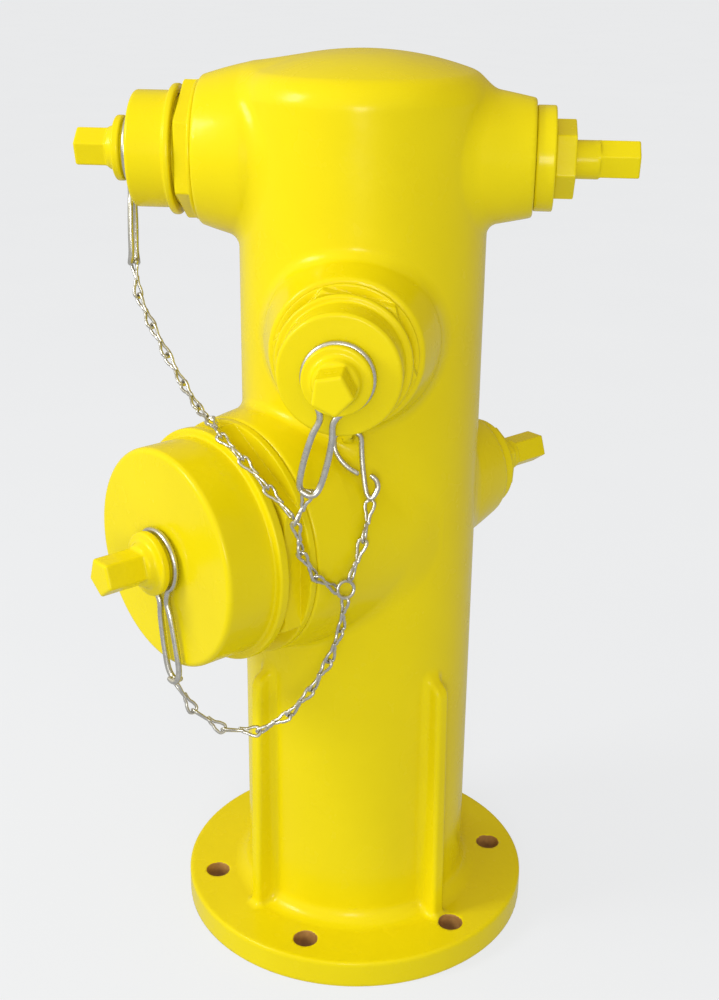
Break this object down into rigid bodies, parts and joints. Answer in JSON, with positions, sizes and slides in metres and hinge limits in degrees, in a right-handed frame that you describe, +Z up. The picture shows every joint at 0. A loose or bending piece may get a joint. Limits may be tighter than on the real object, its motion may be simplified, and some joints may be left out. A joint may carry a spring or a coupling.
{
  "type": "fire hydrant",
  "caption": "Upright wet-barrel fire hydrant with side outlets under screw caps on chains, opposite stem valves with pentagon nuts, and a bolted base flange.",
  "frame": {"origin": "centre of the base flange's underside, on the barrel's axis", "axes": "+Z up along the barrel, -X along the upper hose outlet, -Y along the front hose outlet"},
  "size_m": [0.406, 0.406, 0.695],
  "materials": {
    "enamel": "gloss",
    "zinc_steel": "satin",
    "bronze": "satin",
    "rubber": "matte",
    "packing": "matte"
  },
  "bodies": {
    "root": {"barrel": "enamel", "upper_nozzle": "enamel", "upper_nozzle_oring": "rubber", "upper_bonnet": "enamel", "upper_bonnet_oring": "rubber", "upper_gland_nut": "enamel", "upper_stem_packing": "packing", "front_nozzle": "enamel", "front_nozzle_oring": "rubber", "front_bonnet": "enamel", "front_bonnet_oring": "rubber", "front_gland_nut": "enamel", "front_stem_packing": "packing", "pumper_nozzle": "enamel", "pumper_nozzle_oring": "rubber", "pumper_bonnet": "enamel", "pumper_bonnet_oring": "rubber", "pumper_gland_nut": "enamel", "pumper_stem_packing": "packing", "anchor_hook": "zinc_steel", "upper_chain": "zinc_steel", "front_chain": "zinc_steel", "anchor_chain": "zinc_steel", "pumper_chain": "zinc_steel", "chain_ring": "zinc_steel"},
    "upper_hook_body": {"upper_cap_hook": "zinc_steel"},
    "upper_cap_body": {"upper_cap": "enamel", "upper_cap_gasket": "rubber"},
    "upper_disc_body": {"upper_disc_holder": "bronze", "upper_valve_disc": "rubber", "upper_disc_nut": "bronze"},
    "upper_stem_body": {"upper_stem": "enamel"},
    "front_hook_body": {"front_cap_hook": "zinc_steel"},
    "front_cap_body": {"front_cap": "enamel", "front_cap_gasket": "rubber"},
    "front_disc_body": {"front_disc_holder": "bronze", "front_valve_disc": "rubber", "front_disc_nut": "bronze"},
    "front_stem_body": {"front_stem": "enamel"},
    "pumper_hook_body": {"pumper_cap_hook": "zinc_steel"},
    "pumper_cap_body": {"pumper_cap": "enamel", "pumper_cap_gasket": "rubber"},
    "pumper_disc_body": {"pumper_disc_holder": "bronze", "pumper_valve_disc": "rubber", "pumper_disc_nut": "bronze"},
    "pumper_stem_body": {"pumper_stem": "enamel"}
  },
  "joints": [
    {"name": "upper_cap_travel", "type": "slide", "parent": "root", "child": "upper_hook_body", "axis": [-1, 0, 0], "range_m": [0, 0.0254]},
    {"name": "upper_cap_turn", "type": "hinge", "parent": "upper_hook_body", "child": "upper_cap_body", "pos_m": [0, 0, 0.6225], "axis": [-1, 0, 0], "range_deg": [0, 2700]},
    {"name": "upper_valve_travel", "type": "slide", "parent": "root", "child": "upper_disc_body", "axis": [1, 0, 0], "range_m": [0, 0.02857]},
    {"name": "upper_stem_turn", "type": "hinge", "parent": "upper_disc_body", "child": "upper_stem_body", "pos_m": [0, 0, 0.6225], "axis": [1, 0, 0], "range_deg": [0, 1620]},
    {"name": "front_cap_travel", "type": "slide", "parent": "root", "child": "front_hook_body", "axis": [0, -1, 0], "range_m": [0, 0.0254]},
    {"name": "front_cap_turn", "type": "hinge", "parent": "front_hook_body", "child": "front_cap_body", "pos_m": [0, 0, 0.506], "axis": [0, -1, 0], "range_deg": [0, 2700]},
    {"name": "front_valve_travel", "type": "slide", "parent": "root", "child": "front_disc_body", "axis": [0, 1, 0], "range_m": [0, 0.02857]},
    {"name": "front_stem_turn", "type": "hinge", "parent": "front_disc_body", "child": "front_stem_body", "pos_m": [0, 0, 0.506], "axis": [0, 1, 0], "range_deg": [0, 1620]},
    {"name": "pumper_cap_travel", "type": "slide", "parent": "root", "child": "pumper_hook_body", "axis": [-0.6947, -0.7193, 0], "range_m": [0, 0.03175]},
    {"name": "pumper_cap_turn", "type": "hinge", "parent": "pumper_hook_body", "child": "pumper_cap_body", "pos_m": [0, 0, 0.356], "axis": [-0.6947, -0.7193, 0], "range_deg": [0, 1800]},
    {"name": "pumper_valve_travel", "type": "slide", "parent": "root", "child": "pumper_disc_body", "axis": [0.6947, 0.7193, 0], "range_m": [0, 0.0381]},
    {"name": "pumper_stem_turn", "type": "hinge", "parent": "pumper_disc_body", "child": "pumper_stem_body", "pos_m": [0, 0, 0.356], "axis": [0.6947, 0.7193, 0], "range_deg": [0, 2160]}
  ],
  "couplings": [
    {"joint": "upper_cap_turn", "follows": "upper_cap_travel", "rad_per_m": 1855.3},
    {"joint": "upper_stem_turn", "follows": "upper_valve_travel", "rad_per_m": 989.48},
    {"joint": "front_cap_turn", "follows": "front_cap_travel", "rad_per_m": 1855.3},
    {"joint": "front_stem_turn", "follows": "front_valve_travel", "rad_per_m": 989.48},
    {"joint": "pumper_cap_turn", "follows": "pumper_cap_travel", "rad_per_m": 989.48},
    {"joint": "pumper_stem_turn", "follows": "pumper_valve_travel", "rad_per_m": 989.48}
  ]
}
